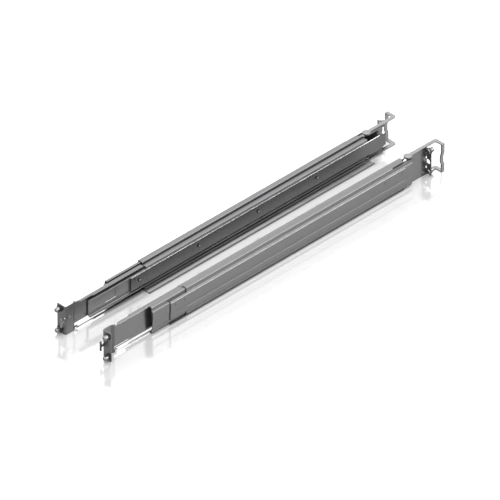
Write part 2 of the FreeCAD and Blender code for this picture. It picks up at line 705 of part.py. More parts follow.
def make_front_bracket():
    """Front bracket: web riveted into the channel, joggle, end flange and pivot tabs."""
    body = new_body("left_front_bracket")
    inside = S.face_out - S.gauge
    plan = [(S.rail_length, S.flange_width), (S.rail_length, S.web_out - S.gauge),
            (S.joggle_end, S.web_out - S.gauge), (S.joggle_start, inside - S.gauge),
            (S.bracket_start, inside - S.gauge)]
    outline = sheet_outline(plan, S.gauge, S.bend, -1)
    sketch = draw_outline(new_sketch(body, "XY_Plane", FRONT_LOW), outline)
    pad(body, sketch, FRONT_TOP - FRONT_LOW)
    over = S.rail_height
    trim_block(body, S.bracket_start - over, S.face_top - 1.6, S.channel_end + 0.5, S.rail_height + over)
    trim_block(body, S.bracket_start - over, -over, S.channel_end + 0.5, S.face_low + 1)
    tab = [(S.pivot_x - S.pivot_head, -S.tab_in, 3.0), (S.rail_length - 4, -S.tab_in, 3.0),
           (S.rail_length - 2, S.web_out - S.gauge / 2), (S.joggle_end, S.web_out - S.gauge / 2),
           (S.pivot_x - S.pivot_head, S.web_out + 1, 1.0)]
    pad(body, draw_outline(new_sketch(body, "XY_Plane", FRONT_LOW), tab), S.gauge)
    pad(body, draw_outline(new_sketch(body, "XY_Plane", FRONT_TOP - S.gauge), tab), S.gauge)
    holes = new_sketch(body, "YZ_Plane", S.rail_length)
    for level in (S.stud_low, STUD_TOP):
        draw_circle(holes, S.stud_out, level, S.shank_radius)
    draw_circle(holes, S.screw_hole_out, S.screw_hole_z, S.screw_hole_radius)
    cut(body, holes, S.gauge * 2)
    notches = new_sketch(body, "XZ_Plane")
    for level in (S.screw_hole_z + 5, S.screw_hole_z - 10):
        draw_circle(notches, S.rail_length, level, 2.2)
    cut(body, notches, S.web_out + 1, reverse=False)
    pivots = new_sketch(body, "XY_Plane")
    draw_circle(pivots, S.pivot_x, S.pivot_out, S.pivot_radius)
    cut(body, pivots)
    drill(body, FRONT_RIVETS, S.rivet_radius)
    return body


def make_front_latch():
    """Front latch: two arms on the pivots, joined by a waved upright bar."""
    body = new_body("left_front_latch")
    front = S.rail_length + S.latch_reach
    low_y = S.pivot_out - S.latch_bar / 2
    high_y = S.pivot_out + S.latch_bar / 2
    back = front - S.latch_bar
    arm = [(S.pivot_x, low_y), (front, low_y, 4.0), (front, S.latch_out), (back, S.latch_out),
           (back, high_y, 2.5), (S.pivot_x, high_y)]
    for level in (Size.of(0), ARM_LEVEL):
        pad(body, draw_outline(new_sketch(body, "XY_Plane", level), arm), S.arm_thick)
        eye = draw_circle(new_sketch(body, "XY_Plane", level), S.pivot_x, S.pivot_out, S.eye_radius)
        pad(body, eye, S.arm_thick)
    height = ARM_LEVEL + S.arm_thick
    wave = S.bar_wave
    bar = [(back, 0), (front, 0), (front, S.hook_low - 2, 3.0), (front - wave, S.hook_low + 3, 3.0),
           (front - wave, S.hook_top - 4, 3.0), (front, S.hook_top + 1, 3.0), (front, height),
           (back, height), (back, S.hook_top + 1, 3.0), (back - wave, S.hook_top - 4, 3.0),
           (back - wave, S.hook_low + 3, 3.0), (back, S.hook_low - 2, 3.0)]
    sketch = draw_outline(new_sketch(body, "XZ_Plane", -S.latch_out), bar)
    pad(body, sketch, S.bar_thick)
    bores = new_sketch(body, "XY_Plane")
    draw_circle(bores, S.pivot_x, S.pivot_out, S.pivot_radius + S.pivot_play)
    cut(body, bores)
    return body


def make_latch_pivots():
    """Upper and lower pivot rivet of the front latch."""
    top = ARM_LEVEL + S.arm_thick + 0.1
    deep = top - FRONT_TOP + S.gauge
    upper = cylinder(S.pivot_radius, deep, S.pivot_x, S.pivot_out, top - deep, "+Z")
    head = cone(S.pivot_head, S.pivot_head - 0.5, S.pivot_head_thick, S.pivot_x, S.pivot_out, top, "+Z")
    floor = FRONT_LOW + S.gauge
    rise = (S.wire_radius * 2 + S.wire_gap) * SPRING_TURNS + S.wire_gap
    lower = cylinder(S.pivot_radius, floor + rise + 0.8, S.pivot_x, S.pivot_out, 0, "+Z")
    button = cylinder(S.pivot_head - 0.6, 0.8, S.pivot_x, S.pivot_out, floor + rise, "+Z")
    return join("left_latch_pivots", [upper, head, lower, button])


def coil(label, radius, along, outward, height, way):
    """A close-wound spring round a pin, one closed ring for each turn."""
    rings = []
    for number in range(SPRING_TURNS):
        ring = doc.addObject("Part::Torus", "Turn")
        bind(ring, "Radius1", radius)
        bind(ring, "Radius2", S.wire_radius)
        climb = (S.wire_radius * 2 + S.wire_gap) * number
        over = height + climb if way == "+Z" else height
        out = outward + climb if way == "+Y" else outward
        rings.append(place(ring, along, out, over, TURNS[way]))
    return join(label, rings)


def make_latch_spring():
    """Spring on the lower pivot that swings the latch outwards."""
    level = FRONT_LOW + S.gauge + S.wire_radius + S.wire_gap
    return coil("left_latch_spring", S.pivot_radius + S.wire_radius + 0.2,
                S.pivot_x, S.pivot_out, level, "+Z")


def make_hook_spring():
    """Spring on the hook pin that pulls the hook's head down."""
    start = HOOK_Y + S.hook_thick + S.wire_radius + S.run_gap
    return coil("left_rear_hook_spring", S.hook_pin_radius + S.wire_radius + 0.2,
                S.hook_pin_x, start, S.hook_pin_z, "+Y")


def make_frame_rivets():
    """Rivets through the channel's face into the sleeve and the front bracket."""
    shapes = []
    for along, height in REAR_RIVETS:
        start = S.face_out - S.gauge - NEST - 0.4
        length = S.gauge * 2 + S.nest_gap + 0.8
        shapes.append(cylinder(S.rivet_radius, length, along, start, height, "+Y"))
    for along, height in FRONT_RIVETS:
        start = S.face_out - S.gauge * 2 - 0.4
        shapes.append(cylinder(S.rivet_radius, S.gauge * 2 + 0.8, along, start, height, "+Y"))
    return join("left_frame_rivets", shapes)


def make_outer_member():
    """Fixed outer member of the slide, open towards the chassis."""
    body = new_body("left_slide_outer_member")
    low = S.slide_mid - S.outer_half
    high = S.slide_mid + S.outer_half
    path = [(OUTER_LIP_Y, high - S.outer_lip), (OUTER_LIP_Y, high), (S.outer_web, high),
            (S.outer_web, low), (OUTER_LIP_Y, low), (OUTER_LIP_Y, low + S.outer_lip)]
    outline = sheet_outline(path, S.slide_gauge, S.slide_bend, -1)
    sketch = draw_outline(new_sketch(body, "YZ_Plane", S.channel_start), outline)
    pad(body, sketch, S.outer_end - S.channel_start)
    return body


def make_slide_spacers():
    """Spacer rivets between the channel's face and the outer member."""
    shapes = []
    start = S.outer_web
    first = S.bracket_start - S.spacer_setback
    for along in (first - S.spacer_pitch, first):
        reach = S.face_out - S.gauge - start
        shapes.append(cylinder(S.spacer_radius, reach, along, start, FACE_MID, "+Y"))
    return join("left_slide_spacers", shapes)


def make_middle_member():
    """Middle member of the slide, between the two rows of balls on each side."""
    body = new_body("left_slide_middle_member")
    low = S.slide_mid - S.middle_half
    high = S.slide_mid + S.middle_half
    path = [(MIDDLE_LIP_Y, high - S.middle_lip), (MIDDLE_LIP_Y, high), (MIDDLE_BACK, high),
            (MIDDLE_BACK, low), (MIDDLE_LIP_Y, low), (MIDDLE_LIP_Y, low + S.middle_lip)]
    outline = sheet_outline(path, S.slide_gauge, S.slide_bend, -1)
    sketch = draw_outline(new_sketch(body, "YZ_Plane", S.middle_start), outline)
    pad(body, sketch, S.middle_end - S.middle_start)
    recess = box_outline(S.recess_start, S.recess_low, S.recess_end, S.recess_top, 0.8)
    face = -(MIDDLE_BACK - S.slide_gauge)
    cut(body, draw_outline(new_sketch(body, "XZ_Plane", face), recess), S.recess_depth)
    return body


def make_inner_member():
    """Inner member of the slide, which carries the chassis."""
    body = new_body("left_slide_inner_member")
    low = S.slide_mid - S.inner_half
    high = S.slide_mid + S.inner_half
    face = -S.inner_face
    path = [(face + S.inner_leg, high), (face, high), (face, low), (face + S.inner_leg, low)]
    outline = sheet_outline(path, S.slide_gauge, Size.of(0.3), 1)
    sketch = draw_outline(new_sketch(body, "YZ_Plane", S.inner_start), outline)
    pad(body, sketch, S.inner_end - S.inner_start)
    over = S.gauge
    for start, end in ((high - 1.6, high + over), (low - over, low + 1.6)):
        trim_block(body, S.inner_end - S.inner_tip, start, S.inner_end + over, end)
    studs = [(S.chassis_first + S.chassis_pitch * number, S.slide_mid) for number in range(CHASSIS_STUDS)]
    drill(body, studs, S.chassis_radius)
    return body


def make_chassis_studs():
    """Headed studs on the inner member that the chassis hooks onto."""
    shapes = []
    neck = S.chassis_reach - 0.8
    for number in range(CHASSIS_STUDS):
        along = S.chassis_first + S.chassis_pitch * number
        root = -S.inner_face + S.slide_gauge
        shapes.append(cylinder(S.chassis_radius, neck + S.slide_gauge, along, root, S.slide_mid, "-Y"))
        head = -S.inner_face - neck
        shapes.append(cone(S.chassis_head, S.chassis_head - 0.5, 0.8, along, head, S.slide_mid, "-Y"))
    return join("left_chassis_studs", shapes)


def make_cage(label, start, back, reach, level, radius, inwards):
    """Ball cage: a thin channel with a hole for each ball in both flanges."""
    body = new_body(label)
    half = level + S.cage_gauge / 2
    path = [(-reach, S.slide_mid + half), (back, S.slide_mid + half),
            (back, S.slide_mid - half), (-reach, S.slide_mid - half)]
    outline = sheet_outline(path, S.cage_gauge, Size.of(0.1), -1)
    pad(body, draw_outline(new_sketch(body, "YZ_Plane", start), outline), S.cage_length)
    row = new_sketch(body, "XY_Plane", S.slide_mid + half + 1)
    first = start + (S.cage_length - S.ball_pitch * (BALLS_IN_A_ROW - 1)) / 2
    draw_circle(row, first, -inwards, radius + 0.04)
    cut_row(body, row, half * 2 + 2, S.ball_pitch, BALLS_IN_A_ROW)
    return body


def make_balls(label, start, back, reach, level, radius, inwards):
    """The balls of a cage, in a row above and a row below."""
    shapes = []
    first = start + (S.cage_length - S.ball_pitch * (BALLS_IN_A_ROW - 1)) / 2
    for number in range(BALLS_IN_A_ROW):
        for height in (S.slide_mid + level, S.slide_mid - level):
            shapes.append(ball(radius, first + S.ball_pitch * number, -inwards, height))
    return join(label, shapes)


def left_rail():
    """Every sub-part of the left rail."""
    outer_back = S.outer_web - S.slide_gauge - 0.2
    outer_reach = S.middle_depth - 0.6
    inner_back = MIDDLE_BACK - S.slide_gauge - 0.15
    inner_reach = S.middle_depth - 0.4
    outer = (S.outer_cage_start, outer_back, outer_reach, OUTER_BALL_Z, OUTER_BALL, S.outer_ball_y)
    inner = (S.inner_cage_start, inner_back, inner_reach, INNER_BALL_Z, INNER_BALL, S.inner_ball_y)
    return [
        make_outer_channel(), make_guide_sleeve(), make_front_bracket(),
        make_studs("left_front_studs", S.rail_length, "+X"),
        make_collars("left_front_collars", S.rail_length, "+X"),
        make_frame_rivets(), make_outer_member(), make_slide_spacers(), make_latch_pivots(),
        make_front_latch(), make_latch_spring(),
        make_rear_bracket(), make_rear_slide_bar(), make_bar_rivets(),
        make_studs("left_rear_studs", Size.of(0), "-X"),
        make_collars("left_rear_collars", Size.of(0), "-X"),
        make_rear_hook(), make_hook_pin(), make_hook_spring(),
        make_middle_member(), make_inner_member(), make_chassis_studs(),
        make_cage("left_outer_ball_cage", *outer), make_balls("left_outer_balls", *outer),
        make_cage("left_inner_ball_cage", *inner), make_balls("left_inner_balls", *inner),
    ]


def mirrored(part):
    """The right rail's copy of a sub-part."""
    label = part.Label.replace("left_", "right_")
    thing = doc.addObject("Part::Mirroring", label)
    thing.Label = label
    thing.Source = part
    thing.Normal = Vector(0, 1, 0)
    return thing


def check(parts):
    """Stops on anything that failed to build."""
    for thing in doc.Objects:
        if "Invalid" in thing.State or "Error" in thing.State:
            raise RuntimeError(thing.Name + " of " + thing.Label + " is in state " + str(thing.State))
    for thing in parts:
        if thing.Shape.isNull() or not thing.Shape.isValid() or not thing.Shape.Solids:
            raise RuntimeError(thing.Label + " has no valid solid")


left = left_rail()
doc.recompute()
parts = left + [mirrored(part) for part in left]
doc.recompute()
check(parts)
os.makedirs("parts", exist_ok=True)
for part in parts:
    part.Shape.exportStep("parts/" + part.Label + ".step")
    print(part.Label, len(part.Shape.Solids), round(part.Shape.Volume, 1))
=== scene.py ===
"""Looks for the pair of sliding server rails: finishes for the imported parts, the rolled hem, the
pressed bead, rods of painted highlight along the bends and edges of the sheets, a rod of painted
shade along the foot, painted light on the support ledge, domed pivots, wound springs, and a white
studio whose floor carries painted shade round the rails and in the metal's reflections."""
import math

import bpy
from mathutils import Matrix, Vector


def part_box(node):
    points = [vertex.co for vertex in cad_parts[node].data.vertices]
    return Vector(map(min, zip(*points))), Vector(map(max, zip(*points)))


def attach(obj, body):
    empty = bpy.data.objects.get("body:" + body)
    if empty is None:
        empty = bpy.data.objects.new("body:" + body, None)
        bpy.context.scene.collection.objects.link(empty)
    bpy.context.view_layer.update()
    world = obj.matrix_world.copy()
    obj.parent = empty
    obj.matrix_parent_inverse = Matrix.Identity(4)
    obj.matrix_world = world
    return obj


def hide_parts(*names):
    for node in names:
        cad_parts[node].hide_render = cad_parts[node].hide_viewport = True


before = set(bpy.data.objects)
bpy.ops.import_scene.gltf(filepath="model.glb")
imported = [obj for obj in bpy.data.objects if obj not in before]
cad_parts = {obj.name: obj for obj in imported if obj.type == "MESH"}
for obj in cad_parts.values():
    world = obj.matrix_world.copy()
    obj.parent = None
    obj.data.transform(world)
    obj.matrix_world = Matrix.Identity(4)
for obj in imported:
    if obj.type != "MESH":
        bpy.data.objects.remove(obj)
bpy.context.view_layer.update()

bl_info = {
    "name": "Server Rail Studio",
    "version": (1, 0, 0),
    "blender": (4, 5, 0),
    "location": "3D View > Sidebar > Rails",
    "description": "Dresses a pair of sliding server rails and sets them in a white studio",
    "category": "Object",
}

MM = 0.001
SIDES = {"left": 1.0, "right": -1.0}


class RailShapes(bpy.types.PropertyGroup):
    """Sizes of the details that the studio adds to the rails."""

    hem_radius: bpy.props.FloatProperty(
        name="Hem radius", description="Radius of the rolled hem on the support ledge",
        default=1.15 * MM, unit="LENGTH")
    bead_radius: bpy.props.FloatProperty(
        name="Bead radius", description="Radius of the bead pressed along the lower face",
        default=0.7 * MM, unit="LENGTH")
    bead_rise: bpy.props.FloatProperty(
        name="Bead rise", description="How far that bead stands out of the face",
        default=0.3 * MM, unit="LENGTH")
    # Rods of this radius are painted highlights laid along the bends and edges.
    highlight_rod_radius: bpy.props.FloatProperty(
        name="Edge radius", description="Radius of the burnished bends of the sheets",
        default=0.7 * MM, unit="LENGTH")
    # This rod is painted shade: a rod along the foot's lower edge, coloured black for the shade there.
    foot_shade_radius: bpy.props.FloatProperty(
        name="Foot edge radius", description="Radius of the dark lower edge of the channel's foot",
        default=1.1 * MM, unit="LENGTH")
    # This skin is a slab of painted light on the ledge's top.
    painted_light_skin: bpy.props.FloatProperty(
        name="Ledge skin", description="Thickness of the worn zinc on the support ledge",
        default=0.12 * MM, unit="LENGTH")
    head_rise: bpy.props.FloatProperty(
        name="Pivot head rise", description="Height of the dome on a latch pivot",
        default=0.9 * MM, unit="LENGTH")
    wire_radius: bpy.props.FloatProperty(
        name="Wire radius", description="Radius of the spring wire",
        default=0.36 * MM, unit="LENGTH")
    coil_turns: bpy.props.FloatProperty(
        name="Coil turns", description="Turns in a spring", default=2.6)


def colour(name, description, value):
    """A colour that the panel can change."""
    return bpy.props.FloatVectorProperty(
        name=name, description=description, subtype="COLOR", size=3, min=0.0, max=1.0, default=value)


class RailFinishes(bpy.types.PropertyGroup):
    """Colours of the finishes."""

    zinc: colour("Zinc", "Colour of the frame sheets", (0.168, 0.168, 0.171))
    slide: colour("Slide", "Colour of the inner slide members", (0.128, 0.128, 0.131))
    bright: colour("Bright zinc", "Colour of the latches and hooks", (0.235, 0.235, 0.239))
    chrome: colour("Chrome", "Colour of the end studs and the balls", (0.22, 0.22, 0.225))
    # Also the colour of the rod of painted shade along the foot.
    black: colour("Black oxide", "Colour of the stud collars", (0.025, 0.025, 0.026))
    middle: colour("Middle member steel", "Colour of the middle slide members", (0.24, 0.24, 0.243))
    race: colour("Race steel", "Colour of the outer slide members", (0.21, 0.21, 0.214))
    stud: colour("Dark stud", "Colour of the chassis studs", (0.14, 0.14, 0.142))
    # Painted highlight: the bright colour of the rods laid along bends and edges where highlights fall.
    edge: colour("Painted edge highlight", "Colour of the bends and edges", (0.72, 0.72, 0.72))
    # Painted highlight: the colour of the rod laid along the outer face where a highlight falls.
    bend_highlight: colour("Painted bend highlight", "Colour of the long bend of the outer face", (0.42, 0.42, 0.424))
    # Painted light: the lighter colour of the ledge's top and hem, where light falls on the ledge.
    pale: colour("Painted light zinc", "Colour of the worn ledge", (0.46, 0.46, 0.465))
    rivet: colour("Rivet steel", "Colour of rivets, pins and cages", (0.28, 0.28, 0.285))


# The material's name, its roughness and what differs from the usual grain, for each colour above
FINISHES = {
    "zinc": ("Zinc sheet", 0.26, {"streaks": 0.08, "bloom": 0.1, "metallic": 0.85}),
    "slide": ("Slide steel", 0.24, {"streaks": 0.1, "bloom": 0.1, "metallic": 0.85}),
    "bright": ("Bright zinc", 0.2, {"streaks": 0.05, "bloom": 0.1, "metallic": 0.9}),
    "chrome": ("Stud chrome", 0.12, {"streaks": 0.05, "bloom": 0.05, "bump": 0.005}),
    "black": ("Black oxide", 0.45, {"bump": 0.05, "metallic": 0.3}),
    "middle": ("Middle member steel", 0.28, {"streaks": 0.1, "bloom": 0.1, "metallic": 0.5}),
    "race": ("Race steel", 0.3, {"streaks": 0.1, "bloom": 0.1, "metallic": 0.45}),
    "stud": ("Dark stud", 0.16, {"streaks": 0.05, "bloom": 0.05, "bump": 0.005}),
    # Finishes of painted highlight on rods, and of painted light on the ledge.
    "edge": ("Painted edge highlight", 0.2, {"streaks": 0.1, "bloom": 0.1, "bump": 0.005}),
    "bend_highlight": ("Painted bend highlight", 0.24, {"streaks": 0.1, "bloom": 0.1, "bump": 0.005}),
    "pale": ("Painted light zinc", 0.5, {"streaks": 0.2, "bloom": 0.2, "metallic": 0.2}),
    "rivet": ("Rivet steel", 0.28, {"stretch": (900.0, 900.0, 900.0)}),
}


class RailStudio(bpy.types.PropertyGroup):
    """Camera, floor and light."""

    azimuth: bpy.props.FloatProperty(
        name="Azimuth", description="Direction the camera looks from", subtype="ANGLE",
        default=math.radians(-45.0))
    elevation: bpy.props.FloatProperty(
        name="Elevation", description="Height of the camera above the horizon", subtype="ANGLE",
        default=math.radians(35.264))
    view_width: bpy.props.FloatProperty(
        name="View width", description="Width that the picture covers at the rails",
        default=0.645, unit="LENGTH")
    lens: bpy.props.FloatProperty(
        name="Lens", description="Focal length of the camera in millimetres", default=1000.0)
    target: bpy.props.FloatVectorProperty(
        name="Target", description="Point that the camera looks at", subtype="TRANSLATION", size=3,
        default=(1.9 * MM, 0.9 * MM, 0.0))
    floor_reach: bpy.props.FloatProperty(
        name="Floor reach", description="Half width of the floor", default=30.0, unit="LENGTH")
    sky: bpy.props.FloatProperty(
        name="Sky", description="Strength of the light from all round", default=0.5)
    overhead: bpy.props.FloatProperty(
        name="Overhead", description="Strength of the sky in reflections", default=2.1)
    floor_dim: bpy.props.FloatProperty(
        name="Floor dim", description="How far the metal's reflection darkens the floor", default=0.5)
    floor_lift: bpy.props.FloatProperty(
        name="Floor lift", description="Glow that turns the pale floor white", default=0.32)
    floor_shade: bpy.props.FloatProperty(
        name="Floor shade", description="How far the rails shade the floor round them",
        default=16 * MM, unit="LENGTH")
    floor_gloss: bpy.props.FloatProperty(
        name="Floor gloss", description="Share of gloss in the floor", default=0.36)
    key: bpy.props.FloatProperty(
        name="Key light", description="Strength of the main light", default=1.1)
    rim: bpy.props.FloatProperty(
        name="Rim light", description="Strength of the light that draws the bends", default=0.55)
    fill: bpy.props.FloatProperty(
        name="Fill light", description="Strength of the second light", default=0.35)


def link(tree, start, start_socket, end, end_socket):
    """Joins two sockets of a node tree."""
    tree.links.new(start.outputs[start_socket], end.inputs[end_socket])


def number(tree, operation, *values):
    """A maths node, with the fixed values of its inputs from the second on."""
    node = tree.nodes.new("ShaderNodeMath")
    node.operation = operation
    for place, value in enumerate(values, start=1):
        node.inputs[place].default_value = value
    return node


def grain_group():
    """Rolled sheet: faint streaks along the rail, cloudy zinc bloom and fine specks."""
    name = "Rolled Sheet Grain"
    if name in bpy.data.node_groups:
        return bpy.data.node_groups[name]
    tree = bpy.data.node_groups.new(name, "ShaderNodeTree")
    for label, kind, default in (
            ("Colour", "NodeSocketColor", (0.3, 0.3, 0.3, 1.0)), ("Streaks", "NodeSocketFloat", 0.1),
            ("Bloom", "NodeSocketFloat", 0.1), ("Roughness", "NodeSocketFloat", 0.4),
            ("Stretch", "NodeSocketVector", (60.0, 1400.0, 1400.0))):
        socket = tree.interface.new_socket(label, in_out="INPUT", socket_type=kind)
        socket.default_value = default
    for label, kind in (("Colour", "NodeSocketColor"), ("Roughness", "NodeSocketFloat"),
                        ("Height", "NodeSocketFloat")):
        tree.interface.new_socket(label, in_out="OUTPUT", socket_type=kind)
    given = tree.nodes.new("NodeGroupInput")
    result = tree.nodes.new("NodeGroupOutput")
    place = tree.nodes.new("ShaderNodeTexCoord")
    stretch = tree.nodes.new("ShaderNodeVectorMath")
    stretch.operation = "MULTIPLY"
    link(tree, place, "Object", stretch, 0)
    link(tree, given, "Stretch", stretch, 1)
    streaks = tree.nodes.new("ShaderNodeTexNoise")
    streaks.inputs["Scale"].default_value = 1.0
    streaks.inputs["Detail"].default_value = 3.0
    link(tree, stretch, "Vector", streaks, "Vector")
    bloom = tree.nodes.new("ShaderNodeTexNoise")
    bloom.inputs["Scale"].default_value = 55.0
    bloom.inputs["Detail"].default_value = 5.0
    link(tree, place, "Object", bloom, "Vector")
    specks = tree.nodes.new("ShaderNodeTexNoise")
    specks.inputs["Scale"].default_value = 1900.0
    specks.inputs["Detail"].default_value = 1.0
    link(tree, place, "Object", specks, "Vector")
    shift = None
    for source, amount in ((streaks, "Streaks"), (bloom, "Bloom")):
        centred = number(tree, "SUBTRACT", 0.5)
        link(tree, source, "Fac", centred, 0)
        scaled = number(tree, "MULTIPLY_ADD")
        link(tree, centred, 0, scaled, 0)
        link(tree, given, amount, scaled, 1)
        if shift is None:
            scaled.inputs[2].default_value = 1.0
        else:
            link(tree, shift, 0, scaled, 2)
        shift = scaled
    tint = tree.nodes.new("ShaderNodeVectorMath")
    tint.operation = "SCALE"
    link(tree, given, "Colour", tint, 0)
    link(tree, shift, 0, tint, "Scale")
    link(tree, tint, "Vector", result, "Colour")
    rough = number(tree, "MULTIPLY")
    link(tree, given, "Roughness", rough, 0)
    link(tree, shift, 0, rough, 1)
    link(tree, rough, 0, result, "Roughness")
    height = number(tree, "ADD")
    link(tree, streaks, "Fac", height, 0)
    link(tree, specks, "Fac", height, 1)
    link(tree, height, 0, result, "Height")
    return tree


def metal(name, colour, roughness, streaks=0.25, bloom=0.3, bump=0.02, metallic=1.0, stretch=None):
    """A metal finish made of the rolled sheet grain."""
    if name in bpy.data.materials:
        return bpy.data.materials[name]
    material = bpy.data.materials.new(name)
    material.use_nodes = True
    tree = material.node_tree
    shader = tree.nodes["Principled BSDF"]
    grain = tree.nodes.new("ShaderNodeGroup")
    grain.node_tree = grain_group()
    grain.inputs["Colour"].default_value = (*colour, 1.0)
    grain.inputs["Streaks"].default_value = streaks
    grain.inputs["Bloom"].default_value = bloom
    grain.inputs["Roughness"].default_value = roughness
    if stretch is not None:
        grain.inputs["Stretch"].default_value = stretch
    link(tree, grain, "Colour", shader, "Base Color")
    link(tree, grain, "Roughness", shader, "Roughness")
    shader.inputs["Metallic"].default_value = metallic
    relief = tree.nodes.new("ShaderNodeBump")
    relief.inputs["Strength"].default_value = bump
    relief.inputs["Distance"].default_value = 0.0004
    link(tree, grain, "Height", relief, "Height")
    link(tree, relief, "Normal", shader, "Normal")
    return material


def finish_of(name):
    """The material of one of the finishes."""
    label, roughness, grain = FINISHES[name]
    return metal(label, getattr(bpy.context.scene.rail_finishes, name), roughness, **grain)


def coat(part, finish):
    """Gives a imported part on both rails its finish."""
    for side in SIDES:
        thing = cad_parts[side + "_" + part]
        material = finish_of(finish)
        if not thing.material_slots:
            thing.data.materials.append(material)
        for place in thing.material_slots:
            place.material = material


def rule_tree(name, sockets):
    """An empty geometry rule with named inputs, its input node and its output node."""
    tree = bpy.data.node_groups.new(name, "GeometryNodeTree")
    for label, kind, default in sockets:
        socket = tree.interface.new_socket(label, in_out="INPUT", socket_type=kind)
        if default is not None:
            socket.default_value = default
    tree.interface.new_socket("Geometry", in_out="OUTPUT", socket_type="NodeSocketGeometry")
    return tree, tree.nodes.new("NodeGroupInput"), tree.nodes.new("NodeGroupOutput")


def end_tree(tree, given, result, last, socket):
    """Ends a rule: real geometry, with the material set."""
    real = tree.nodes.new("GeometryNodeRealizeInstances")
    link(tree, last, socket, real, "Geometry")
    painted = tree.nodes.new("GeometryNodeSetMaterial")
    link(tree, real, "Geometry", painted, "Geometry")
    link(tree, given, "Material", painted, "Material")
    link(tree, painted, "Geometry", result, "Geometry")
    return tree


def grow(tree, name, values):
    """Runs a rule and keeps its result as a plain mesh."""
    piece = bpy.data.objects.new(name, bpy.data.meshes.new(name))
    bpy.context.scene.collection.objects.link(piece)
    rule = piece.modifiers.new("Rule", "NODES")
    rule.node_group = tree
    for item in tree.interface.items_tree:
        if item.in_out == "INPUT" and item.name in values:
            rule[item.identifier] = values[item.name]
    graph = bpy.context.evaluated_depsgraph_get()
    mesh = bpy.data.meshes.new_from_object(piece.evaluated_get(graph), depsgraph=graph)
    piece.modifiers.remove(rule)
    mesh.name = name
    piece.data = mesh
    for face in mesh.polygons:
        face.use_smooth = True
    if not mesh.polygons:
        raise RuntimeError(name + " came out empty")
    return piece


def rod_tree():
    """A round rod between two points, with closed ends."""
    if "Rolled Rod" in bpy.data.node_groups:
        return bpy.data.node_groups["Rolled Rod"]
    tree, given, result = rule_tree("Rolled Rod", (
        ("Start", "NodeSocketVector", (0.0, 0.0, 0.0)), ("End", "NodeSocketVector", (1.0, 0.0, 0.0)),
        ("Radius", "NodeSocketFloat", 0.001), ("Sides", "NodeSocketInt", 16),
        ("Material", "NodeSocketMaterial", None)))
    line = tree.nodes.new("GeometryNodeCurvePrimitiveLine")
    link(tree, given, "Start", line, "Start")
    link(tree, given, "End", line, "End")
    ring = tree.nodes.new("GeometryNodeCurvePrimitiveCircle")
    link(tree, given, "Radius", ring, "Radius")
    link(tree, given, "Sides", ring, "Resolution")
    rod = tree.nodes.new("GeometryNodeCurveToMesh")
    link(tree, line, "Curve", rod, "Curve")
    link(tree, ring, "Curve", rod, "Profile Curve")
    rod.inputs["Fill Caps"].default_value = True
    return end_tree(tree, given, result, rod, "Mesh")


def slab_tree():
    """A flat slab."""
    if "Flat Slab" in bpy.data.node_groups:
        return bpy.data.node_groups["Flat Slab"]
    tree, given, result = rule_tree("Flat Slab", (
        ("Size", "NodeSocketVector", (0.1, 0.01, 0.001)), ("Place", "NodeSocketVector", (0.0, 0.0, 0.0)),
        ("Material", "NodeSocketMaterial", None)))
    slab = tree.nodes.new("GeometryNodeMeshCube")
    link(tree, given, "Size", slab, "Size")
    moved = tree.nodes.new("GeometryNodeTransform")
    link(tree, slab, "Mesh", moved, "Geometry")
    link(tree, given, "Place", moved, "Translation")
    return end_tree(tree, given, result, moved, "Geometry")


def coil_tree():
    """A wound spring round an axis."""
    tree, given, result = rule_tree("Wound Spring", (
        ("Turns", "NodeSocketFloat", 3.0), ("Coil Radius", "NodeSocketFloat", 0.003),
        ("Wire Radius", "NodeSocketFloat", 0.0004), ("Length", "NodeSocketFloat", 0.003),
        ("Place", "NodeSocketVector", (0.0, 0.0, 0.0)), ("Turn", "NodeSocketVector", (0.0, 0.0, 0.0)),
        ("Material", "NodeSocketMaterial", None)))
    helix = tree.nodes.new("GeometryNodeCurveSpiral")
    helix.inputs["Resolution"].default_value = 40
    link(tree, given, "Turns", helix, "Rotations")
    link(tree, given, "Coil Radius", helix, "Start Radius")
    link(tree, given, "Coil Radius", helix, "End Radius")
    link(tree, given, "Length", helix, "Height")
    ring = tree.nodes.new("GeometryNodeCurvePrimitiveCircle")
    ring.inputs["Resolution"].default_value = 12
    link(tree, given, "Wire Radius", ring, "Radius")
    wire = tree.nodes.new("GeometryNodeCurveToMesh")
    link(tree, helix, "Curve", wire, "Curve")
    link(tree, ring, "Curve", wire, "Profile Curve")
    wire.inputs["Fill Caps"].default_value = True
    moved = tree.nodes.new("GeometryNodeTransform")
    link(tree, wire, "Mesh", moved, "Geometry")
    link(tree, given, "Place", moved, "Translation")
    link(tree, given, "Turn", moved, "Rotation")
    return end_tree(tree, given, result, moved, "Geometry")


def head_tree():
    """A row of domed rivet heads."""
    tree, given, result = rule_tree("Rivet Heads", (
        ("First", "NodeSocketVector", (0.0, 0.0, 0.0)), ("Step", "NodeSocketVector", (0.1, 0.0, 0.0)),
        ("Count", "NodeSocketInt", 2), ("Dome", "NodeSocketVector", (1.0, 1.0, 1.0)),
        ("Material", "NodeSocketMaterial", None)))
    row = tree.nodes.new("GeometryNodeMeshLine")
    link(tree, given, "Count", row, "Count")
    link(tree, given, "First", row, "Start Location")
    link(tree, given, "Step", row, "Offset")
    dome = tree.nodes.new("GeometryNodeMeshUVSphere")
    dome.inputs["Segments"].default_value = 32
    dome.inputs["Rings"].default_value = 16
    dome.inputs["Radius"].default_value = 1.0
    heads = tree.nodes.new("GeometryNodeInstanceOnPoints")
    link(tree, row, "Mesh", heads, "Points")
    link(tree, dome, "Mesh", heads, "Instance")
    link(tree, given, "Dome", heads, "Scale")
    return end_tree(tree, given, result, heads, "Instances")


